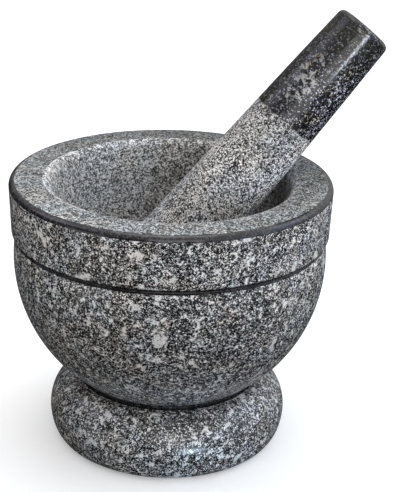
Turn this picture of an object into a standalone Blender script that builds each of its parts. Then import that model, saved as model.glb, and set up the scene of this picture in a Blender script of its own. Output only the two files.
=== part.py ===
"""A granite mortar on a turned foot, with its tapered granite pestle leaning in the bowl.

Metres, +Z up. The origin is the centre of the foot's underside, and -Y is the front.
"""

import math

import bpy
from mathutils import Vector

# Mortar: the rim, the band under it, and the two turned grooves
MORTAR_HEIGHT = 0.130
RIM_RADIUS = 0.075
CHAMFER = 0.0026
LIP_INNER_RADIUS = 0.0595
LIP_ROUNDING = 0.004
BAND_FOOT_RADIUS = 0.0741
BAND_EDGE_ROUNDING = 0.0012
BAND_GROOVE_HEIGHT = 0.1037
BAND_GROOVE_RADIUS = 0.0718
BAND_GROOVE_HALF_WIDTH = 0.0012

# Mortar: the bowl, round outside and in
BOWL_RADIUS = 0.0733
BOWL_CENTRE_HEIGHT = 0.093
HOLLOW_RADIUS = 0.0545
HOLLOW_FLOOR_HEIGHT = 0.050
HOLLOW_WALL_HEIGHT = 0.116

# Mortar: the neck and the rounded foot
NECK_RADIUS = 0.0418
NECK_OVERHANG = 0.0012
NECK_TOP_HEIGHT = 0.0332
NECK_BOTTOM_HEIGHT = 0.0318
FOOT_SHOULDER_RADIUS = 0.043
FOOT_SHOULDER_HEIGHT = 0.0313
FOOT_RADIUS = 0.0569
FOOT_WIDEST_HEIGHT = 0.0145
FOOT_BASE_RADIUS = 0.049

# Pestle
PESTLE_LENGTH = 0.1816
PESTLE_GRINDING_RADIUS = 0.0201
PESTLE_HANDLE_RADIUS = 0.01425
PESTLE_CAP_ROUNDING = 0.003
PESTLE_CAP_CROWN = 0.0004

# The pestle's rest: how it leans, and where its axis crosses the rim's plane
LEAN_FROM_VERTICAL = math.radians(40.8)
LEAN_TOWARDS = math.radians(13.9)
RIM_CROSSING = Vector((0.0327, 0.0124, MORTAR_HEIGHT))
RESTING_GAP = 0.0003

# Search for the tip's place: its least and greatest distance from the rim crossing, along the pestle
LEAST_LENGTH_INSIDE = 0.085
GREATEST_LENGTH_INSIDE = 0.130
HALVINGS = 30

# Facets round each turned piece, and how near the axis a profile's end point counts as on it
MORTAR_STEPS = 64
PESTLE_STEPS = 40
AXIS_MERGE = 0.00002

MORTAR_COLOUR = (0.12, 0.125, 0.13)
MORTAR_ROUGHNESS = 0.3
PESTLE_COLOUR = (0.3, 0.31, 0.31)
PESTLE_ROUGHNESS = 0.6


def arc(centre, radius, start, end, count):
    """Points (r, z) on an ellipse's arc. radius is (across, up), and angles are in degrees from +r."""
    points = []
    for i in range(count + 1):
        angle = math.radians(start + (end - start) * i / count)
        points.append((centre[0] + radius[0] * math.cos(angle), centre[1] + radius[1] * math.sin(angle)))
    return points


def hollow_profile():
    """The bowl's inside, from the middle of its floor to the inner edge of the flat rim."""
    depth = HOLLOW_WALL_HEIGHT - HOLLOW_FLOOR_HEIGHT
    rounding_height = MORTAR_HEIGHT - LIP_ROUNDING
    floor = arc((0, HOLLOW_WALL_HEIGHT), (HOLLOW_RADIUS, depth), start=-90, end=0, count=12)
    floor[0] = (0, HOLLOW_FLOOR_HEIGHT)
    rounding = (LIP_ROUNDING, LIP_ROUNDING)
    lip = arc((LIP_INNER_RADIUS, rounding_height), rounding, start=180, end=90, count=5)
    return floor + lip


def band_profile():
    """The rim's chamfer and the upright band under it, down to the bottom of the band groove."""
    chamfer = [(RIM_RADIUS - CHAMFER, MORTAR_HEIGHT), (RIM_RADIUS, MORTAR_HEIGHT - CHAMFER)]
    edge_centre = (
        BAND_FOOT_RADIUS - BAND_EDGE_ROUNDING,
        BAND_GROOVE_HEIGHT + BAND_GROOVE_HALF_WIDTH + BAND_EDGE_ROUNDING,
    )
    rounding = (BAND_EDGE_ROUNDING, BAND_EDGE_ROUNDING)
    edge = arc(edge_centre, rounding, start=0, end=-80, count=3)
    groove = [
        (BAND_GROOVE_RADIUS, BAND_GROOVE_HEIGHT + BAND_GROOVE_HALF_WIDTH / 2),
        (BAND_GROOVE_RADIUS, BAND_GROOVE_HEIGHT - BAND_GROOVE_HALF_WIDTH / 2),
    ]
    return chamfer + edge + groove


def bowl_profile():
    """The bowl's round outside, from under the band groove to the top of the neck."""
    top = BAND_GROOVE_HEIGHT - BAND_GROOVE_HALF_WIDTH
    start = math.degrees(math.asin((top - BOWL_CENTRE_HEIGHT) / BOWL_RADIUS))
    end = -math.degrees(math.acos((NECK_RADIUS + NECK_OVERHANG) / BOWL_RADIUS))
    return arc((0, BOWL_CENTRE_HEIGHT), (BOWL_RADIUS, BOWL_RADIUS), start, end, count=14)


def foot_profile():
    """The neck groove and the rounded foot, ending at the middle of the flat underside."""
    neck = [(NECK_RADIUS, NECK_TOP_HEIGHT), (NECK_RADIUS, NECK_BOTTOM_HEIGHT)]
    shoulder_size = (FOOT_RADIUS - FOOT_SHOULDER_RADIUS, FOOT_SHOULDER_HEIGHT - FOOT_WIDEST_HEIGHT)
    shoulder_centre = (FOOT_SHOULDER_RADIUS, FOOT_WIDEST_HEIGHT)
    shoulder = arc(shoulder_centre, shoulder_size, start=90, end=0, count=8)
    toe_size = (FOOT_RADIUS - FOOT_BASE_RADIUS, FOOT_WIDEST_HEIGHT)
    toe = arc((FOOT_BASE_RADIUS, FOOT_WIDEST_HEIGHT), toe_size, start=0, end=-90, count=6)
    return neck + shoulder + toe[1:] + [(0, 0)]


def pestle_profile():
    """From the middle of the handle's cap down to the tip of the round grinding end at z = 0."""
    cap_edge_height = PESTLE_LENGTH - PESTLE_CAP_CROWN
    cap_centre = (PESTLE_HANDLE_RADIUS - PESTLE_CAP_ROUNDING, cap_edge_height - PESTLE_CAP_ROUNDING)
    cap = arc(cap_centre, (PESTLE_CAP_ROUNDING, PESTLE_CAP_ROUNDING), start=90, end=0, count=4)
    end_centre = (0, PESTLE_GRINDING_RADIUS)
    end_radius = (PESTLE_GRINDING_RADIUS, PESTLE_GRINDING_RADIUS)
    end = arc(end_centre, end_radius, start=0, end=-90, count=10)
    end[-1] = (0, 0)
    return [(0, PESTLE_LENGTH)] + cap + end


def lean_direction():
    """Unit vector along the pestle, from its grinding end to its handle."""
    across = math.sin(LEAN_FROM_VERTICAL)
    return Vector(
        (
            across * math.cos(LEAN_TOWARDS),
            across * math.sin(LEAN_TOWARDS),
            math.cos(LEAN_FROM_VERTICAL),
        )
    )


def gap_under(tip):
    """Distance from the round grinding end, with its tip here, to the inside of the bowl."""
    centre = tip + lean_direction() * PESTLE_GRINDING_RADIUS
    height = centre.z - HOLLOW_WALL_HEIGHT
    depth = HOLLOW_WALL_HEIGHT - HOLLOW_FLOOR_HEIGHT
    samples = 400
    nearest = min(
        math.hypot(
            HOLLOW_RADIUS * math.sin(i / samples * math.pi / 2) - math.hypot(centre.x, centre.y),
            -depth * math.cos(i / samples * math.pi / 2) - height,
        )
        for i in range(samples + 1)
    )
    return nearest - PESTLE_GRINDING_RADIUS


def resting_tip():
    """The tip's place when the pestle has slid down its own axis until its end rests in the bowl."""
    clear, touching = LEAST_LENGTH_INSIDE, GREATEST_LENGTH_INSIDE
    for _ in range(HALVINGS):
        middle = (clear + touching) / 2
        if gap_under(RIM_CROSSING - lean_direction() * middle) > RESTING_GAP:
            clear = middle
        else:
            touching = middle
    return RIM_CROSSING - lean_direction() * clear


def granite(name, colour, roughness):
    """A Principled material for one stone piece."""
    material = bpy.data.materials.new(name)
    material.use_nodes = True
    shader = material.node_tree.nodes["Principled BSDF"]
    shader.inputs["Base Color"].default_value = (*colour, 1)
    shader.inputs["Roughness"].default_value = roughness
    shader.inputs["Metallic"].default_value = 0
    return material


def turned(name, profile, steps, material, collection):
    """An object turned about its own Z axis from a profile of (r, z) points, in world metres."""
    mesh = bpy.data.meshes.new(name)
    corners = [(r, 0, z) for r, z in profile]
    mesh.from_pydata(corners, [(i, i + 1) for i in range(len(corners) - 1)], [])
    mesh.materials.append(material)
    piece = bpy.data.objects.new(name, mesh)
    collection.objects.link(piece)
    screw = piece.modifiers.new("turning", "SCREW")
    screw.steps = steps
    screw.render_steps = steps
    screw.use_merge_vertices = True
    screw.merge_threshold = AXIS_MERGE
    screw.use_smooth_shade = True
    return piece


def make_mortar(collection):
    profile = hollow_profile() + band_profile() + bowl_profile() + foot_profile()
    material = granite("polished_granite", MORTAR_COLOUR, MORTAR_ROUGHNESS)
    return turned("mortar", profile, MORTAR_STEPS, material, collection)


def make_pestle(collection):
    material = granite("honed_granite", PESTLE_COLOUR, PESTLE_ROUGHNESS)
    pestle = turned("pestle", pestle_profile(), PESTLE_STEPS, material, collection)
    lift = bpy.data.objects.new("pestle_lift", None)
    lift.empty_display_size = 0.02
    lift.location = resting_tip()
    collection.objects.link(lift)
    pestle.parent = lift
    pestle.rotation_mode = "QUATERNION"
    pestle.rotation_quaternion = Vector((0, 0, 1)).rotation_difference(lean_direction())
    return pestle


def clear_scene():
    for thing in list(bpy.data.objects):
        bpy.data.objects.remove(thing, do_unlink=True)


def main():
    clear_scene()
    bpy.context.scene.unit_settings.scale_length = 1
    collection = bpy.data.collections.new("granite_mortar_and_pestle")
    bpy.context.scene.collection.children.link(collection)
    make_mortar(collection)
    make_pestle(collection)


main()
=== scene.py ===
"""Looks of the granite mortar and pestle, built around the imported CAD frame.

Metres, +Z up, -Y is the front. Both stones are turned again as fine meshes from the CAD's own dimensions,
with small irregularities, and get procedural granite for each finish: polished, honed and ground.
"""

import math

import bpy
import numpy as np
from mathutils import Matrix, Quaternion, Vector, noise


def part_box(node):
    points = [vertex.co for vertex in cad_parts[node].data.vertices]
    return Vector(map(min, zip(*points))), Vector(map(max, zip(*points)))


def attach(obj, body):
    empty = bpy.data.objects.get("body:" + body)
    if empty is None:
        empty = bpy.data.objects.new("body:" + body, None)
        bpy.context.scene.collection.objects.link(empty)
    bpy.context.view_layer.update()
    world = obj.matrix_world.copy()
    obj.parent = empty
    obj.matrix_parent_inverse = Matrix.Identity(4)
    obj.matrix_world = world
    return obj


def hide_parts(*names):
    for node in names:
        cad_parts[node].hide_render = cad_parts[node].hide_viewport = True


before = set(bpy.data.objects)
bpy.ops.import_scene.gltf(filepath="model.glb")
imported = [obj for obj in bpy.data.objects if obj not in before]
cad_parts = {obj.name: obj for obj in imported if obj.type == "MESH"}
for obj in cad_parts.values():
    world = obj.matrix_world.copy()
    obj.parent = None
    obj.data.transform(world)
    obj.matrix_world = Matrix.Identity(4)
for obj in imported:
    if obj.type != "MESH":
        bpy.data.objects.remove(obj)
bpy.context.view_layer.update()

MM = 0.001

# ---------------------------------------------------------------- sizes, as in the CAD

MORTAR_LOW, MORTAR_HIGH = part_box("mortar")
MORTAR_HEIGHT = MORTAR_HIGH.z
RIM_RADIUS = (MORTAR_HIGH.x - MORTAR_LOW.x) / 2
CHAMFER = 0.0026
LIP_INNER_RADIUS = 0.0595
LIP_ROUNDING = 0.004
BAND_FOOT_RADIUS = 0.0741
BAND_EDGE_ROUNDING = 0.0012
BAND_GROOVE_HEIGHT = 0.1037
BAND_GROOVE_RADIUS = 0.0718
BAND_GROOVE_HALF_WIDTH = 0.0012
BOWL_RADIUS = 0.0733
BOWL_CENTRE_HEIGHT = 0.093
HOLLOW_RADIUS = 0.0545
HOLLOW_FLOOR_HEIGHT = 0.050
HOLLOW_WALL_HEIGHT = 0.116
NECK_RADIUS = 0.0418
NECK_OVERHANG = 0.0012
NECK_TOP_HEIGHT = 0.0332
NECK_BOTTOM_HEIGHT = 0.0318
FOOT_SHOULDER_RADIUS = 0.043
FOOT_SHOULDER_HEIGHT = 0.0313
FOOT_RADIUS = 0.0569
FOOT_WIDEST_HEIGHT = 0.0145
FOOT_BASE_RADIUS = 0.049

PESTLE_LENGTH = 0.1816
PESTLE_GRINDING_RADIUS = 0.0201
PESTLE_HANDLE_RADIUS = 0.01425
PESTLE_CAP_ROUNDING = 0.003
PESTLE_CAP_CROWN = 0.0004
LEAN_FROM_VERTICAL = math.radians(40.8)
LEAN_TOWARDS = math.radians(13.9)

# ---------------------------------------------------------------- what the CAD leaves out

# How far the chamfer bulges, how far the neck's thin bead stands out, and its share of the groove's height
CHAMFER_CROWN = 0.0007
NECK_BEAD = 0.0006
NECK_BEAD_SHARE = 0.6

# Facets round each turned piece, and the angle from which an edge is sharp
MORTAR_STEPS = 448
PESTLE_STEPS = 256
SHARP_FROM = math.radians(40)

# Slow wander of the turned surfaces: its height, and the length of its waves on each stone
WANDER = 0.12 * MM
MORTAR_WAVE = 0.035
PESTLE_WAVE = 0.03

# Roughness of the ground surfaces: its height, and the size of its bumps
BOWL_ROUGHNESS = 0.07 * MM
BOWL_BUMP = 0.0028
PESTLE_ROUGHNESS = 0.05 * MM
PESTLE_BUMP = 0.002

# Chips on the turned edges: their depth and size, and the noise value, out of 1, from which one starts
CHIP_DEPTH = 0.0008
CHIP_SIZE = 0.0035
CHIP_FROM = 0.25

# Height on the pestle where the ground stone ends and the polished handle starts
POLISHED_FROM = 0.1242

# Where each kind of unevenness is cut from the same noise
MORTAR_WANDER_SEED = 3.0
BOWL_ROUGHNESS_SEED = 5.0
CHIP_SEED = 9.0
PESTLE_WANDER_SEED = 11.0
PESTLE_ROUGHNESS_SEED = 13.0


# ---------------------------------------------------------------- profiles, as (r, z) points

def arc(centre, radius, start, end, count):
    """Points (r, z) on an ellipse's arc. radius is (across, up), and angles are in degrees from +r."""
    points = []
    for i in range(count + 1):
        angle = math.radians(start + (end - start) * i / count)
        points.append((centre[0] + radius[0] * math.cos(angle), centre[1] + radius[1] * math.sin(angle)))
    return points


def line(start, end, count):
    """Points evenly along a straight stretch, both ends included."""
    return crowned(start, end, height=0, count=count)


def crowned(start, end, height, count):
    """A straight stretch that bulges outwards by height in its middle."""
    across, up = end[0] - start[0], end[1] - start[1]
    length = math.hypot(across, up)
    out = (-up / length, across / length)
    points = []
    for i in range(count + 1):
        t = i / count
        bulge = height * 4 * t * (1 - t)
        points.append((start[0] + across * t + out[0] * bulge, start[1] + up * t + out[1] * bulge))
    return points


def hollow_profile():
    """The bowl's inside, from the middle of its floor to the foot of the lip's rounding."""
    depth = HOLLOW_WALL_HEIGHT - HOLLOW_FLOOR_HEIGHT
    lip_foot = (LIP_INNER_RADIUS - LIP_ROUNDING, MORTAR_HEIGHT - LIP_ROUNDING)
    floor = arc((0, HOLLOW_WALL_HEIGHT), (HOLLOW_RADIUS, depth), start=-90, end=0, count=46)
    floor[0] = (0, HOLLOW_FLOOR_HEIGHT)
    wall = line(floor[-1], lip_foot, count=6)
    return floor + wall[1:]


def lip_profile():
    centre = (LIP_INNER_RADIUS, MORTAR_HEIGHT - LIP_ROUNDING)
    return arc(centre, (LIP_ROUNDING, LIP_ROUNDING), start=180, end=90, count=9)


def rim_profile():
    return line((LIP_INNER_RADIUS, MORTAR_HEIGHT), (RIM_RADIUS - CHAMFER, MORTAR_HEIGHT), count=12)


def chamfer_profile():
    top = (RIM_RADIUS - CHAMFER, MORTAR_HEIGHT)
    foot = (RIM_RADIUS, MORTAR_HEIGHT - CHAMFER)
    return crowned(top, foot, CHAMFER_CROWN, count=8)


def band_profile():
    """The upright band, down to the rounded edge over its groove."""
    edge_centre = (
        BAND_FOOT_RADIUS - BAND_EDGE_ROUNDING,
        BAND_GROOVE_HEIGHT + BAND_GROOVE_HALF_WIDTH + BAND_EDGE_ROUNDING,
    )
    rounding = (BAND_EDGE_ROUNDING, BAND_EDGE_ROUNDING)
    edge = arc(edge_centre, rounding, start=0, end=-60, count=4)
    return line((RIM_RADIUS, MORTAR_HEIGHT - CHAMFER), edge[0], count=16) + edge[1:]


def band_groove_profile():
    """From the band's rounded lower edge, round the bottom of the groove, to the bowl."""
    top = band_profile()[-1]
    centre = (BAND_GROOVE_RADIUS + BAND_GROOVE_HALF_WIDTH, BAND_GROOVE_HEIGHT)
    half_width = (BAND_GROOVE_HALF_WIDTH, BAND_GROOVE_HALF_WIDTH)
    groove = arc(centre, half_width, start=130, end=230, count=6)
    return [top] + groove + [bowl_profile()[0]]


def bowl_profile():
    """The bowl's round outside, from under the band groove to the top of the neck."""
    top = BAND_GROOVE_HEIGHT - BAND_GROOVE_HALF_WIDTH
    start = math.degrees(math.asin((top - BOWL_CENTRE_HEIGHT) / BOWL_RADIUS))
    end = -math.degrees(math.acos((NECK_RADIUS + NECK_OVERHANG) / BOWL_RADIUS))
    return arc((0, BOWL_CENTRE_HEIGHT), (BOWL_RADIUS, BOWL_RADIUS), start, end, count=50)


def neck_profile():
    """Under the bowl: a groove, a thin bead, a second groove, and the foot's edge."""
    middle = (NECK_TOP_HEIGHT + NECK_BOTTOM_HEIGHT) / 2
    bead_half = NECK_BEAD_SHARE * (NECK_TOP_HEIGHT - NECK_BOTTOM_HEIGHT) / 2
    bead = arc((NECK_RADIUS, middle), (NECK_BEAD, bead_half), start=90, end=-90, count=6)
    return (
        [bowl_profile()[-1], (NECK_RADIUS, NECK_TOP_HEIGHT)]
        + bead
        + [(NECK_RADIUS, NECK_BOTTOM_HEIGHT), (FOOT_SHOULDER_RADIUS, FOOT_SHOULDER_HEIGHT)]
    )


def foot_profile():
    shoulder_size = (FOOT_RADIUS - FOOT_SHOULDER_RADIUS, FOOT_SHOULDER_HEIGHT - FOOT_WIDEST_HEIGHT)
    shoulder_centre = (FOOT_SHOULDER_RADIUS, FOOT_WIDEST_HEIGHT)
    shoulder = arc(shoulder_centre, shoulder_size, start=90, end=0, count=22)
    toe_size = (FOOT_RADIUS - FOOT_BASE_RADIUS, FOOT_WIDEST_HEIGHT)
    toe = arc((FOOT_BASE_RADIUS, FOOT_WIDEST_HEIGHT), toe_size, start=0, end=-90, count=14)
    return shoulder + toe[1:]


def underside_profile():
    return line((FOOT_BASE_RADIUS, 0), (0, 0), count=8)


def pestle_cap_profile():
    """From the middle of the handle's cap, over its rounded edge, to the start of the side."""
    cap_edge_height = PESTLE_LENGTH - PESTLE_CAP_CROWN
    cap_centre = (PESTLE_HANDLE_RADIUS - PESTLE_CAP_ROUNDING, cap_edge_height - PESTLE_CAP_ROUNDING)
    rounding = (PESTLE_CAP_ROUNDING, PESTLE_CAP_ROUNDING)
    flat = line((0, PESTLE_LENGTH), (cap_centre[0], cap_edge_height), count=8)
    return flat + arc(cap_centre, rounding, start=90, end=0, count=10)[1:]


def pestle_side_profile():
    start = pestle_cap_profile()[-1]
    return line(start, (PESTLE_GRINDING_RADIUS, PESTLE_GRINDING_RADIUS), count=150)


def pestle_end_profile():
    centre = (0, PESTLE_GRINDING_RADIUS)
    radius = (PESTLE_GRINDING_RADIUS, PESTLE_GRINDING_RADIUS)
    end = arc(centre, radius, start=0, end=-90, count=24)
    end[-1] = (0, 0)
    return end


def joined(stretches):
    """[(zone, points)] end to end, as one list of points and the zone of each step between them."""
    points, zones = [stretches[0][1][0]], []
    for zone, stretch in stretches:
        points += stretch[1:]
        zones += [zone] * (len(stretch) - 1)
    return np.array(points), zones


# ---------------------------------------------------------------- turned meshes

def outward(points):
    """Each profile point's unit normal (r, z), to the left of the way that the profile runs."""
    along = np.gradient(points, axis=0)
    normals = np.stack([-along[:, 1], along[:, 0]], axis=1)
    normals /= np.linalg.norm(normals, axis=1)[:, None]
    normals[0] = (0, math.copysign(1, normals[1][1]))
    normals[-1] = (0, math.copysign(1, normals[-2][1]))
    return normals


def wobble(place, size, seed):
    """Smooth noise from -1 to 1 at a point in metres. size is its grain in metres."""
    return noise.noise(Vector(place) / size + Vector((seed, seed * 1.7, -seed)))


def turned_points(points, zones, steps, shift):
    """The points of a turned mesh, and the number of the first one in each ring."""
    normals = outward(points)
    last = len(points) - 1
    vertices, rings = [], []
    for i, (r, z) in enumerate(points):
        before = zones[max(i - 1, 0)]
        after = zones[min(i, last - 1)]
        rings.append(len(vertices))
        for k in range(steps if 0 < i < last else 1):
            angle = 2 * math.pi * k / steps
            across = Vector((math.cos(angle), math.sin(angle), 0))
            place = across * r + Vector((0, 0, z))
            out = across * normals[i][0] + Vector((0, 0, normals[i][1]))
            vertices.append(place + out * shift(place, before, after))
    return vertices, rings


def turned_faces(rings, steps):
    """Faces between each ring and the next, where the first and the last ring are one point each."""
    faces = []
    last = len(rings) - 2
    for i, (a, b) in enumerate(zip(rings, rings[1:])):
        for k in range(steps):
            n = (k + 1) % steps
            if i == 0:
                faces.append((a, b + k, b + n))
            elif i == last:
                faces.append((a + k, b, a + n))
            else:
                faces.append((a + k, b + k, b + n, a + n))
    return faces


def turned_piece(name, stretches, materials, steps, shift):
    """A closed piece turned from a profile whose two ends lie on the axis.

    stretches is [(zone, points)] and materials has one entry per zone. shift(place, zone_before,
    zone_after) gives how far each point moves along its normal, in metres.
    """
    points, zones = joined(stretches)
    vertices, rings = turned_points(points, zones, steps, shift)
    mesh = bpy.data.meshes.new(name)
    mesh.from_pydata(vertices, [], turned_faces(rings, steps))
    order = list(materials)
    mesh.polygons.foreach_set("material_index", [order.index(zone) for zone in zones for _ in range(steps)])
    mesh.validate()
    mesh.shade_smooth()
    mesh.set_sharp_from_angle(angle=SHARP_FROM)
    for material in materials.values():
        mesh.materials.append(material)
    piece = bpy.data.objects.new(name, mesh)
    bpy.context.scene.collection.objects.link(piece)
    return piece


# ---------------------------------------------------------------- node helpers

class Graph:
    """A short way to write a material's nodes."""

    def __init__(self, name, gloss=0.5):
        self.material = bpy.data.materials.new(name)
        self.material.use_nodes = True
        self.tree = self.material.node_tree
        self.shader = self.tree.nodes["Principled BSDF"]
        self.shader.inputs["Specular IOR Level"].default_value = gloss
        coordinates = self.tree.nodes.new("ShaderNodeTexCoord")
        self.metres = coordinates.outputs["Object"]

    def put(self, value, socket):
        """Link another node's output to a socket, or set the socket to a plain value."""
        if isinstance(value, bpy.types.NodeSocket):
            self.tree.links.new(value, socket)
        else:
            socket.default_value = value

    def add(self, kind, inputs=(), **settings):
        made = self.tree.nodes.new(kind)
        for key, value in settings.items():
            setattr(made, key, value)
        for key, value in dict(inputs).items():
            self.put(value, made.inputs[key])
        return made

    def math(self, operation, a, b):
        return self.add("ShaderNodeMath", {0: a, 1: b}, operation=operation).outputs[0]

    def plus(self, a, b):
        return self.math("ADD", a, b)

    def minus(self, a, b):
        return self.math("SUBTRACT", a, b)

    def times(self, a, b):
        return self.math("MULTIPLY", a, b)

    def vector(self, operation, a, b):
        return self.add("ShaderNodeVectorMath", {0: a, 1: b}, operation=operation).outputs["Vector"]

    def number(self, operation, a, b):
        """A single number from two vectors, such as their dot product or their distance."""
        return self.add("ShaderNodeVectorMath", {0: a, 1: b}, operation=operation).outputs["Value"]

    def scaled(self, a, factor):
        return self.add("ShaderNodeVectorMath", {0: a, "Scale": factor}, operation="SCALE").outputs[0]

    def noise_node(self, vector, size, detail, roughness):
        return self.add(
            "ShaderNodeTexNoise",
            {"Vector": vector, "Scale": 1 / size, "Detail": detail, "Roughness": roughness},
        )

    def noise(self, vector, size, detail, roughness=0.5):
        """Noise from 0 to 1 whose grain is size, in the vector's own unit."""
        return self.noise_node(vector, size, detail, roughness).outputs["Fac"]

    def noise_vector(self, vector, size, detail, roughness):
        """Three such noises at once, one for each axis."""
        return self.noise_node(vector, size, detail, roughness).outputs["Color"]

    def cells(self, vector, size):
        """A random number from 0 to 1 for each cell of that size."""
        made = self.add("ShaderNodeTexVoronoi", {"Vector": vector, "Scale": 1 / size})
        return self.add("ShaderNodeSeparateColor", {"Color": made.outputs["Color"]}).outputs[0]

    def ramp(self, factor, stops):
        """A colour ramp. stops is [(position, colour)]."""
        made = self.add("ShaderNodeValToRGB", {"Fac": factor})
        elements = made.color_ramp.elements
        while len(elements) < len(stops):
            elements.new(1.0)
        for element, (position, colour) in zip(elements, stops):
            element.position = position
            element.color = (*colour, 1)
        return made.outputs["Color"]

    def step(self, value, low, high):
        """0 below low, 1 above high, smooth between."""
        made = self.add(
            "ShaderNodeMapRange",
            {"Value": value, "From Min": low, "From Max": high},
            interpolation_type="SMOOTHSTEP",
        )
        return made.outputs["Result"]

    def mix(self, factor, a, b, blend="MIX"):
        """a where factor is 0 and b where it is 1. A plain colour is (red, green, blue)."""
        made = self.add("ShaderNodeMix", data_type="RGBA", blend_type=blend)
        sockets = {socket.identifier: socket for socket in made.inputs}
        self.put(factor, sockets["Factor_Float"])
        for key, colour in (("A_Color", a), ("B_Color", b)):
            plain = not isinstance(colour, bpy.types.NodeSocket)
            self.put((*colour, 1) if plain else colour, sockets[key])
        return next(socket for socket in made.outputs if socket.identifier == "Result_Color")

    def multiplied(self, colour, by):
        return self.mix(1.0, colour, by, blend="MULTIPLY")

    def finish(self, colour, roughness, height=None, relief=0.0):
        """Colour and roughness into the shader, and height as relief of that many metres."""
        self.put(colour, self.shader.inputs["Base Color"])
        self.put(roughness, self.shader.inputs["Roughness"])
        if height is not None:
            bump = self.add("ShaderNodeBump", {"Height": height, "Distance": relief, "Strength": 1.0})
            self.put(bump.outputs["Normal"], self.shader.inputs["Normal"])
        return self.material


# ---------------------------------------------------------------- granite

# Each finish shows the same crystals in five greys, from the darkest mineral to the palest.
POLISHED_GREYS = (0.004, 0.013, 0.10, 0.42, 0.98)
HONED_GREYS = (0.006, 0.018, 0.11, 0.35, 0.68)
GROUND_GREYS = (0.025, 0.073, 0.24, 0.49, 0.78)
PESTLE_GREYS = (0.002, 0.006, 0.15, 0.62, 0.98)
HANDLE_GREYS = (0.001, 0.003, 0.022, 0.16, 0.60)

# Crystals: how ragged their edges are, in grains, what the fine ones weigh against the middle ones, and
# the size in millimetres and the weight of the slow drifts between darker and paler stone
RAGGEDNESS = 1.8
FINE_SHARE = 0.62
DRIFT_SIZE = 12
DRIFT = 0.22

# How the five greys share the crystals' values: how much of the dark share fades in from black, how wide
# the step between two minerals is, and how far the middle and the light grey reach beyond the dark share
DARK_FADE = 0.16
MINERAL_STEP = 0.02
MIDDLE_REACH = 0.11
LIGHT_REACH = 0.23

# Pale patches: where their edge fades in round the noise value that they are cut at, the size of the dark
# specks in millimetres, the noise values between which a speck ends, and the darkest and palest mottling
PATCH_EDGE = (-0.004, 0.014)
SPECK_SIZE = 0.6
SPECK_EDGE = (0.33, 0.39)
MOTTLING = (0.6, 1.4)

# Slow tints of the grey, and the noise values between which the warm one turns into the cool one
WARM = (1.03, 1.0, 0.96)
COOL = (0.97, 1.0, 1.03)
TINT_EDGE = (0.35, 0.65)

# Size in millimetres of the crystals where they hardly show
HIDDEN_GRAIN = 0.8


def grey(value, tint=(1.0, 1.0, 1.0)):
    return tuple(value * t for t in tint)


def in_millimetres(graph, seed=0.0):
    millimetres = graph.scaled(graph.metres, 1 / MM)
    return graph.vector("ADD", millimetres, (seed, seed * 0.7, -seed))


def crystal_values(graph, here, grain, clump=0.44):
    """Interlocking crystals of three sizes with ragged edges: 0 is dark and 1 is pale.

    clump says how strongly like crystals gather into the largest size.
    """
    ragged = graph.noise_vector(here, size=0.5, detail=3, roughness=0.7)
    centred = graph.vector("SUBTRACT", ragged, (0.5, 0.5, 0.5))
    warped = graph.vector("ADD", here, graph.scaled(centred, RAGGEDNESS * grain))
    fine = graph.times(graph.cells(warped, grain), FINE_SHARE)
    middle = graph.times(graph.cells(warped, grain * 2), 1 - FINE_SHARE)
    coarse = graph.noise(here, grain * 5, detail=3, roughness=0.65)
    cloud = graph.noise(here, DRIFT_SIZE, detail=2, roughness=0.6)
    cluster = graph.times(graph.minus(coarse, 0.5), clump)
    drift = graph.times(graph.minus(cloud, 0.5), DRIFT)
    return graph.plus(graph.plus(fine, middle), graph.plus(cluster, drift))


def crystal_colours(graph, values, greys, dark_share=0.46, tint=(1.0, 1.0, 1.0)):
    """The crystals' values as five greys. dark_share is the value at which the dark minerals end."""
    black, dark, middle, light, white = (grey(g, tint) for g in greys)
    middle_end = dark_share + MIDDLE_REACH
    light_end = dark_share + LIGHT_REACH
    return graph.ramp(
        values,
        [
            (0.0, black),
            (dark_share - DARK_FADE, dark),
            (dark_share, dark),
            (dark_share + MINERAL_STEP, middle),
            (middle_end, middle),
            (middle_end + MINERAL_STEP, light),
            (light_end, light),
            (light_end + MINERAL_STEP, white),
        ],
    )


def pale_patches(graph, here, stone, size, above, tone, cover=0.9, gathered=0.0):
    """Ragged islands of one pale mineral, with dark specks left in them. size is in millimetres.

    gathered is added to the noise that the islands are cut from, so that they can crowd in one place.
    """
    apart = graph.vector("ADD", here, (size, 7.0, 3.0))
    islands = graph.plus(graph.noise(apart, size, detail=6, roughness=0.70), gathered)
    fades_in, full = PATCH_EDGE
    mask = graph.step(islands, above + fades_in, above + full)
    speck = graph.noise(here, SPECK_SIZE, detail=2)
    solid = graph.step(speck, *SPECK_EDGE)
    darkest, palest = MOTTLING
    mottled = graph.mix(speck, grey(darkest, tone), grey(palest, tone))
    return graph.mix(graph.times(graph.times(mask, solid), cover), stone, mottled)


def tinted(graph, here, stone, size=14.0):
    """Slow drifts between a warm and a cool grey."""
    drift = graph.noise(here, size, detail=1)
    return graph.multiplied(stone, graph.mix(graph.step(drift, *TINT_EDGE), WARM, COOL))


def painted_light_slope(graph, stone, towards, level):
    """Painted light and shade: the stone made paler along one direction and darker against it. towards is
    the change over one rim's radius.
    """
    slope = tuple(t / RIM_RADIUS for t in towards)
    factor = graph.plus(graph.number("DOT_PRODUCT", graph.metres, slope), level)
    colour = graph.add("ShaderNodeCombineColor", {0: factor, 1: factor, 2: factor}).outputs[0]
    return graph.multiplied(stone, colour)


def smeared(graph, here, size, detail, least, added):
    """Roughness of polished stone that is wiped by hand: least, and up to added more in smears."""
    return graph.plus(least, graph.times(graph.noise(here, size, detail), added))


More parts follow.
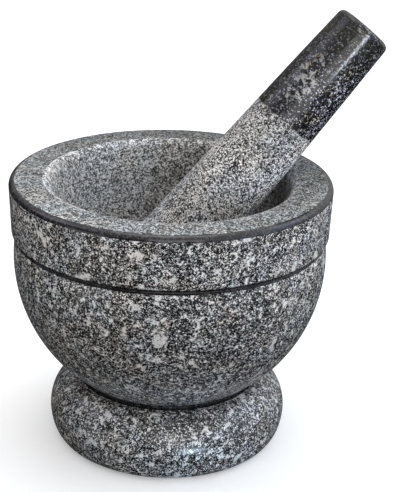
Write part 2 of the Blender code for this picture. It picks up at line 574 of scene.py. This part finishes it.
def polished_granite():
    """The mortar's outside: bright crystals and pale patches, with painted shade that makes it a little
    darker towards the foot and the left.
    """
    graph = Graph("polished_granite", gloss=0.42)
    here = in_millimetres(graph)
    values = crystal_values(graph, here, grain=0.37, clump=0.40)
    stone = crystal_colours(graph, values, POLISHED_GREYS, dark_share=0.535)
    stone = pale_patches(graph, here, stone, size=3.2, above=0.580, tone=(0.86, 0.855, 0.84), cover=1.0)
    stone = pale_patches(graph, here, stone, size=8.0, above=0.595, tone=(0.80, 0.80, 0.79))
    stone = tinted(graph, here, stone)
    # painted shade: darker towards the foot, where the bowl shades it, and towards the left, away from the
    # light
    stone = painted_light_slope(graph, stone, towards=(0.05, 0.0, 0.27), level=0.70)
    return graph.finish(stone, smeared(graph, here, size=6, detail=3, least=0.13, added=0.16))


def honed_granite():
    """Honed stone, with painted light and shade: paler towards the front and the left, darker towards the
    right and the back.
    """
    graph = Graph("honed_granite", gloss=0.3)
    here = in_millimetres(graph)
    values = crystal_values(graph, here, grain=0.45)
    stone = crystal_colours(graph, values, HONED_GREYS, dark_share=0.44, tint=(0.98, 1.01, 1.0))
    stone = pale_patches(graph, here, stone, size=4.5, above=0.63, tone=(0.27, 0.285, 0.29), cover=0.7)
    stone = tinted(graph, here, stone)
    # painted light and shade: the rim paler at the front and the left, darker at the right and the back,
    # under the pestle
    stone = painted_light_slope(graph, stone, towards=(-0.12, -0.32, 0.0), level=0.82)
    fine = graph.noise(here, size=0.35, detail=3)
    return graph.finish(stone, roughness=0.62, height=fine, relief=0.05 * MM)


def ground_granite(name, level):
    """Ground stone, with painted light and shade: paler near the lip and to the left, darker deeper down
    and towards the right.
    """
    graph = Graph(name, gloss=0.3)
    here = in_millimetres(graph)
    values = crystal_values(graph, here, grain=0.5)
    stone = crystal_colours(graph, values, GROUND_GREYS, dark_share=0.42)
    stone = tinted(graph, here, stone, size=25.0)
    # painted light and shade: the bowl's inside paler upwards and to the left, darker deeper down and to
    # the right
    stone = painted_light_slope(graph, stone, towards=(-0.33, 0.0, 0.55), level=level)
    fine = graph.noise(here, size=0.7, detail=4, roughness=0.6)
    return graph.finish(stone, roughness=0.8, height=fine, relief=0.16 * MM)


def dark_granite(name, gloss, cover, colour, **smears):
    """Stone so dark that its crystals hardly show: a dark polish, and in the grooves painted shade as well.
    cover is how far colour hides them.

    smears are what smeared() takes: size, detail, least and added.
    """
    graph = Graph(name, gloss)
    here = in_millimetres(graph)
    stone = crystal_colours(graph, crystal_values(graph, here, HIDDEN_GRAIN), POLISHED_GREYS)
    return graph.finish(graph.mix(cover, stone, colour), smeared(graph, here, **smears))


def dark_edge():
    """The rim's chamfer."""
    return dark_granite(
        "polished_edge", gloss=0.58, cover=0.95, colour=(0.006, 0.004, 0.008),
        size=3, detail=3, least=0.14, added=0.14,
    )


def groove_with_painted_shade():
    """The groove under the band and the one round the neck, near-black from their dark polish and painted
    shade in the recess.
    """
    return dark_granite(
        # near-black colour: the grooves' dark polish and painted shade in their recesses
        "polished_groove_painted_shade", gloss=0.3, cover=0.96, colour=(0.004, 0.004, 0.005),
        size=2, detail=2, least=0.2, added=0.1,
    )


def sawn_granite():
    """The foot's underside."""
    graph = Graph("sawn_granite")
    here = in_millimetres(graph)
    stone = crystal_colours(graph, crystal_values(graph, here, HIDDEN_GRAIN), GROUND_GREYS)
    fine = graph.noise(here, size=0.8, detail=3)
    return graph.finish(stone, roughness=0.8, height=fine, relief=0.1 * MM)


# ---------------------------------------------------------------- the pestle's two finishes

# A crowd of cream crystals on the handle: their colour, the crowd's middle in the pestle's own metres, how
# distances along the pestle are squashed so that the crowd is longer than wide, the distances where it
# starts to thin out and where it ends, and how strongly it gathers
CREAM = (0.58, 0.56, 0.475)
CREAM_CLUSTER = Vector((-0.0085, -0.0128, 0.146))
CREAM_SQUASH = Vector((1.0, 1.0, 0.45))
CREAM_THINS_FROM = 0.003
CREAM_ENDS_AT = 0.010
CREAM_CROWDING = 0.12

# Drifts over the handle, and the noise values between which the bluish one turns into the rusty one
BLUISH = (0.96, 0.97, 1.09)
RUSTY = (1.04, 0.96, 0.86)
RUST_EDGE = (0.50, 0.62)

# Smoky stone near the cap: its colour and share, the heights where it starts and is full, and the height
# of its wisps
SMOKE = (0.014, 0.014, 0.011)
SMOKE_SHARE = 0.55
SMOKE_HEIGHTS = (0.170, 0.186)
SMOKE_WISPS = 0.03

# Painted light and shade on the ground stone: its greys at shares of the pestle's length, and its greys
# across the pestle, from the shaded side to the lit one, with the distances from the axis between which one
# turns into the other
PAINTED_LIGHT_ALONG = ((0.41, 0.78), (0.52, 1.0), (0.66, 0.74))
PAINTED_LIGHT_ACROSS = (0.97, 1.95)
PAINTED_LIGHT_ACROSS_EDGE = (0.003, 0.019)

# The ragged line where the polish starts: how far it wanders, and half the width of its step
POLISH_WANDER = 0.003
POLISH_STEP = 0.0004

# Roughness of the ground stone, how much the polish takes from it, how much less it takes where it is dull,
# the noise values between which it turns dull, and the share of the relief that it takes
MATT = 0.7
POLISH = 0.59
DULLNESS = 0.14
DULL_EDGE = (0.45, 0.60)
RELIEF_POLISHED_AWAY = 0.9


def cream_crowd(graph):
    """What the cream patches' noise gains near the middle of the crowd. It is nothing elsewhere."""
    squashed = graph.vector("MULTIPLY", graph.metres, CREAM_SQUASH)
    distance = graph.number("DISTANCE", squashed, CREAM_CLUSTER * CREAM_SQUASH)
    away = graph.step(distance, CREAM_THINS_FROM, CREAM_ENDS_AT)
    return graph.times(graph.minus(1.0, away), CREAM_CROWDING)


def handle_colours(graph, here, height):
    """Dark polished stone with cream crystals, bluish and rusty drifts, a smoky end, and painted light that
    makes its right side paler.
    """
    values = crystal_values(graph, here, grain=0.46)
    stone = crystal_colours(graph, values, HANDLE_GREYS, dark_share=0.56)
    stone = pale_patches(graph, here, stone, size=2.6, above=0.645, tone=CREAM, gathered=cream_crowd(graph))
    rusty = graph.step(graph.noise(here, size=9, detail=2), *RUST_EDGE)
    stone = graph.multiplied(stone, graph.mix(rusty, BLUISH, RUSTY))
    # painted light: the handle paler towards its right side, where the light falls
    stone = painted_light_slope(graph, stone, towards=(3.4, 0.0, 0.0), level=1.05)
    wisps = graph.times(graph.noise(here, size=14, detail=3), SMOKE_WISPS)
    smoke = graph.step(graph.plus(height, wisps), *SMOKE_HEIGHTS)
    return graph.mix(graph.times(smoke, SMOKE_SHARE), stone, SMOKE)


def ground_colours(graph, here, across, height):
    """Matt stone, with painted light and shade: palest halfway along the pestle and on its right side,
    where the light falls.
    """
    values = crystal_values(graph, here, grain=0.42)
    stone = crystal_colours(graph, values, PESTLE_GREYS, dark_share=0.42)
    stone = tinted(graph, here, stone, size=20.0)
    share = graph.times(height, 1 / PESTLE_LENGTH)
    # painted light and shade along the pestle: palest halfway along, darker towards both ends
    light_along = graph.ramp(share, [(position, grey(value)) for position, value in PAINTED_LIGHT_ALONG])
    # painted light: the pestle's right side much paler than its left
    shaded_side_grey, lit_side_grey = PAINTED_LIGHT_ACROSS
    side = graph.mix(graph.step(across, *PAINTED_LIGHT_ACROSS_EDGE), grey(shaded_side_grey), grey(lit_side_grey))
    return graph.multiplied(graph.multiplied(stone, light_along), side)


def polished_share(graph, here, height):
    """0 on the ground stone and 1 on the handle, with a ragged line between them."""
    ragged = graph.noise(here, size=5, detail=4, roughness=0.65)
    line_height = graph.plus(POLISHED_FROM - POLISH_WANDER / 2, graph.times(ragged, POLISH_WANDER))
    return graph.step(graph.minus(height, line_height), -POLISH_STEP, POLISH_STEP)


def pestle_granite():
    """Ground matt stone that turns, along a ragged line, into a polished handle."""
    graph = Graph("pestle_finishes", gloss=0.40)
    here = in_millimetres(graph, seed=40.0)
    across, _, along = graph.add("ShaderNodeSeparateXYZ", {0: graph.metres}).outputs
    shine = polished_share(graph, here, along)
    ground = ground_colours(graph, here, across, along)
    colour = graph.mix(shine, ground, handle_colours(graph, here, along))
    dull = graph.step(graph.noise(here, size=1.6, detail=3, roughness=0.7), *DULL_EDGE)
    polish = graph.minus(POLISH, graph.times(dull, DULLNESS))
    roughness = graph.minus(MATT, graph.times(shine, polish))
    left_rough = graph.minus(1.0, graph.times(shine, RELIEF_POLISHED_AWAY))
    height = graph.times(graph.noise(here, size=0.5, detail=3), left_rough)
    return graph.finish(colour, roughness, height, relief=0.07 * MM)


# ---------------------------------------------------------------- the two stones

def mortar_shift(place, before, after):
    """Hand finish: the turned surfaces wander a little, edges are chipped, and the bowl is rough."""
    if "underside" in (before, after):
        return 0.0
    slow = WANDER * wobble(place, MORTAR_WAVE, MORTAR_WANDER_SEED)
    if before != after:
        chipped = max(0.0, wobble(place, CHIP_SIZE, CHIP_SEED) - CHIP_FROM) / (1 - CHIP_FROM)
        return slow - CHIP_DEPTH * chipped
    if before == "ground":
        return slow + BOWL_ROUGHNESS * wobble(place, BOWL_BUMP, BOWL_ROUGHNESS_SEED)
    return slow


def make_mortar():
    materials = {
        "ground": ground_granite("ground_granite", level=0.0),
        "honed": honed_granite(),
        # the lip: the same ground stone, with its painted light and shade set a little darker
        "lip": ground_granite("lip_with_painted_light", level=-0.06),
        "edge": dark_edge(),
        "polished": polished_granite(),
        "groove": groove_with_painted_shade(),
        "underside": sawn_granite(),
    }
    stretches = [
        ("ground", hollow_profile()),
        ("lip", lip_profile()),
        ("honed", rim_profile()),
        ("edge", chamfer_profile()),
        ("polished", band_profile()),
        ("groove", band_groove_profile()),
        ("polished", bowl_profile()),
        ("groove", neck_profile()),
        ("polished", foot_profile()),
        ("underside", underside_profile()),
    ]
    piece = turned_piece("mortar_stone", stretches, materials, MORTAR_STEPS, mortar_shift)
    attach(piece, "mortar")
    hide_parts("mortar")


def lean_direction():
    """Unit vector along the pestle, from its grinding end to its handle."""
    across = math.sin(LEAN_FROM_VERTICAL)
    return Vector(
        (
            across * math.cos(LEAN_TOWARDS),
            across * math.sin(LEAN_TOWARDS),
            math.cos(LEAN_FROM_VERTICAL),
        )
    )


def pestle_shift(place, _before, _after):
    """Hand finish: the whole pestle wanders a little, and its ground end is rough."""
    slow = WANDER * wobble(place, PESTLE_WAVE, PESTLE_WANDER_SEED)
    if place.z < POLISHED_FROM:
        return slow + PESTLE_ROUGHNESS * wobble(place, PESTLE_BUMP, PESTLE_ROUGHNESS_SEED)
    return slow


def make_pestle():
    """The pestle, turned upright about its tip and then leant where the CAD's one lies."""
    stretches = [
        ("stone", pestle_cap_profile()),
        ("stone", pestle_side_profile()),
        ("stone", pestle_end_profile()),
    ]
    materials = {"stone": pestle_granite()}
    piece = turned_piece("pestle_stone", stretches, materials, PESTLE_STEPS, pestle_shift)
    direction = lean_direction()
    corners = [corner.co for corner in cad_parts["pestle"].data.vertices]
    tip = min(corners, key=direction.dot)
    turn = Vector((0, 0, 1)).rotation_difference(direction)
    piece.matrix_world = Matrix.Translation(tip) @ turn.to_matrix().to_4x4()
    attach(piece, "pestle")
    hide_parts("pestle")


# ---------------------------------------------------------------- floor and wall

FLOOR_HALF = 6.0
FLOOR_GAP = 0.2 * MM
WALL_LOW = -0.5
WALL_HIGH = 6.0
WALL_SIDES = 64


def seen_by_camera_only(name, corners, faces, material):
    """A piece of the studio that neither lights nor shades the stone."""
    mesh = bpy.data.meshes.new(name)
    mesh.from_pydata(corners, [], faces)
    mesh.materials.append(material)
    piece = bpy.data.objects.new(name, mesh)
    piece.visible_diffuse = False
    piece.visible_glossy = False
    piece.visible_shadow = False
    bpy.context.scene.collection.objects.link(piece)


def paper(name, base, glow):
    """A matt white sheet. base is its grey under the lamps, and glow is what it gives off by itself."""
    graph = Graph(name)
    graph.shader.inputs["Base Color"].default_value = (*grey(base), 1)
    graph.shader.inputs["Roughness"].default_value = 0.9
    graph.shader.inputs["Emission Color"].default_value = (1, 1, 1, 1)
    graph.shader.inputs["Emission Strength"].default_value = glow
    return graph.material


def make_floor():
    low = MORTAR_LOW.z - FLOOR_GAP
    half = FLOOR_HALF
    corners = [(-half, -half, low), (half, -half, low), (half, half, low), (-half, half, low)]
    seen_by_camera_only("floor", corners, [(0, 1, 2, 3)], paper("floor_paper", base=0.95, glow=0.2))


def make_wall():
    """A round pale wall, so that a view from low down shows no dark horizon."""
    ring = [2 * math.pi * k / WALL_SIDES for k in range(WALL_SIDES)]
    around = [(FLOOR_HALF * math.cos(angle), FLOOR_HALF * math.sin(angle)) for angle in ring]
    corners = [(x, y, WALL_LOW) for x, y in around] + [(x, y, WALL_HIGH) for x, y in around]
    faces = []
    for k in range(WALL_SIDES):
        n = (k + 1) % WALL_SIDES
        faces.append((k, k + WALL_SIDES, n + WALL_SIDES, n))
    seen_by_camera_only("wall", corners, faces, paper("wall_paper", base=0.0, glow=1.0))


# ---------------------------------------------------------------- sky and lamps

# The sky is brightest along its axis. Its gradient runs between two cosines of the angle from that axis.
SKY_AXIS = (0.45, 0.0, 0.89)
SKY_COSINES = (-0.15, 0.85)
SKY_AT_HORIZON = 0.06
SKY_OVERHEAD = 1.15
SKY_COLOUR = (1.0, 0.99, 0.955)

# Where the soft boxes of the room stand and face, and the places that the two small lamps make glint
STONE_MIDDLE = Vector((0.0, 0.0, 0.09))
ROOM_DISTANCE = 1.2
SOFT_BOX = (0.7, 0.7)
WIDE_BOX = (1.2, 0.7)
HANDLE_SIDE = Vector((0.11, 0.03, 0.20))
FOOT_FRONT = Vector((0.021, -0.053, 0.013))
EVERY_WAY = 180


def make_world():
    """A soft sky, brightest overhead and a little to the right, dark at the horizon and below."""
    world = bpy.data.worlds.new("studio")
    world.use_nodes = True
    nodes, links = world.node_tree.nodes, world.node_tree.links
    coordinates = nodes.new("ShaderNodeTexCoord")
    rise = nodes.new("ShaderNodeVectorMath")
    rise.operation = "DOT_PRODUCT"
    rise.inputs[1].default_value = SKY_AXIS
    gradient = nodes.new("ShaderNodeMapRange")
    gradient.inputs["From Min"].default_value = SKY_COSINES[0]
    gradient.inputs["From Max"].default_value = SKY_COSINES[1]
    gradient.inputs["To Min"].default_value = SKY_AT_HORIZON
    gradient.inputs["To Max"].default_value = SKY_OVERHEAD
    nodes["Background"].inputs["Color"].default_value = (*SKY_COLOUR, 1)
    links.new(coordinates.outputs["Generated"], rise.inputs[0])
    links.new(rise.outputs["Value"], gradient.inputs["Value"])
    links.new(gradient.outputs["Result"], nodes["Background"].inputs["Strength"])
    bpy.context.scene.world = world


def make_lamp(
    name, azimuth, elevation, power, colour,
    size=SOFT_BOX, distance=ROOM_DISTANCE, aim=STONE_MIDDLE, spread=EVERY_WAY,
):
    """A soft box that faces aim. Azimuth 0 is the front, and it grows towards +X. Angles are in degrees."""
    data = bpy.data.lights.new(name, "AREA")
    data.shape = "RECTANGLE"
    data.size, data.size_y = size
    data.energy = power
    data.color = colour
    data.spread = math.radians(spread)
    lamp = bpy.data.objects.new(name, data)
    lamp.visible_camera = False
    turn, rise = math.radians(azimuth), math.radians(elevation)
    level = math.cos(rise)
    towards = Vector((math.sin(turn) * level, -math.cos(turn) * level, math.sin(rise)))
    lamp.location = aim + towards * distance
    lamp.rotation_mode = "QUATERNION"
    lamp.rotation_quaternion = towards.to_track_quat("Z", "Y")
    bpy.context.scene.collection.objects.link(lamp)


def make_room_lamps():
    """Windows on both sides, a ceiling, a fill from the front, and a pale table at the left."""
    make_lamp("window_right", 100, 40, power=2.6, colour=(0.51, 0.71, 1.0))
    make_lamp("window_low", 60, 12, power=2.0, colour=(0.40, 0.62, 1.0), size=WIDE_BOX)
    make_lamp("window_left", -100, 40, power=1.9, colour=(0.78, 0.81, 1.0))
    make_lamp("ceiling", 180, 80, power=2.9, colour=(0.91, 0.93, 1.0))
    make_lamp("front_fill", 4, 14, power=3.5, colour=(0.99, 0.98, 1.0))
    make_lamp("table_glow_left", -58, -4, power=1.75, colour=(1.0, 1.0, 0.99))


def make_glint_lamps():
    """Two small narrow lamps, whose reflections are the glints on the handle and on the foot."""
    make_lamp(
        "handle_glint", 23, 4, power=0.018, colour=(0.84, 0.91, 1.0),
        size=(0.14, 0.10), distance=0.42, aim=HANDLE_SIDE, spread=24,
    )
    make_lamp(
        "foot_glint", 22, -12, power=0.0072, colour=(0.62, 0.80, 1.0),
        size=(0.075, 0.032), distance=0.15, aim=FOOT_FRONT, spread=34,
    )


# ---------------------------------------------------------------- camera

# Where it stands, which way it looks, and how far it is rolled
CAMERA_PLACE = Vector((0.0, -0.63345, 0.35290))
CAMERA_FORWARD = Vector((0.02323, 0.92647, -0.37566))
CAMERA_ROLL = math.radians(1.73)
CAMERA_LENS_MM = 127.97
SENSOR_MM = 36
CLIP_START = 0.01


def make_camera():
    """A long lens in front of the stone and above it, looking down a little."""
    data = bpy.data.cameras.new("camera")
    data.sensor_fit = "HORIZONTAL"
    data.sensor_width = SENSOR_MM
    data.lens = CAMERA_LENS_MM
    data.clip_start = CLIP_START
    camera = bpy.data.objects.new("camera", data)
    camera.location = CAMERA_PLACE
    camera.rotation_mode = "QUATERNION"
    level = CAMERA_FORWARD.to_track_quat("-Z", "Y")
    camera.rotation_quaternion = level @ Quaternion((0, 0, 1), CAMERA_ROLL)
    bpy.context.scene.collection.objects.link(camera)
    bpy.context.scene.camera = camera


def make_studio():
    make_floor()
    make_wall()
    make_world()
    make_room_lamps()
    make_glint_lamps()
    bpy.context.scene.view_settings.view_transform = "Standard"
    make_camera()


make_studio()
make_mortar()
make_pestle()
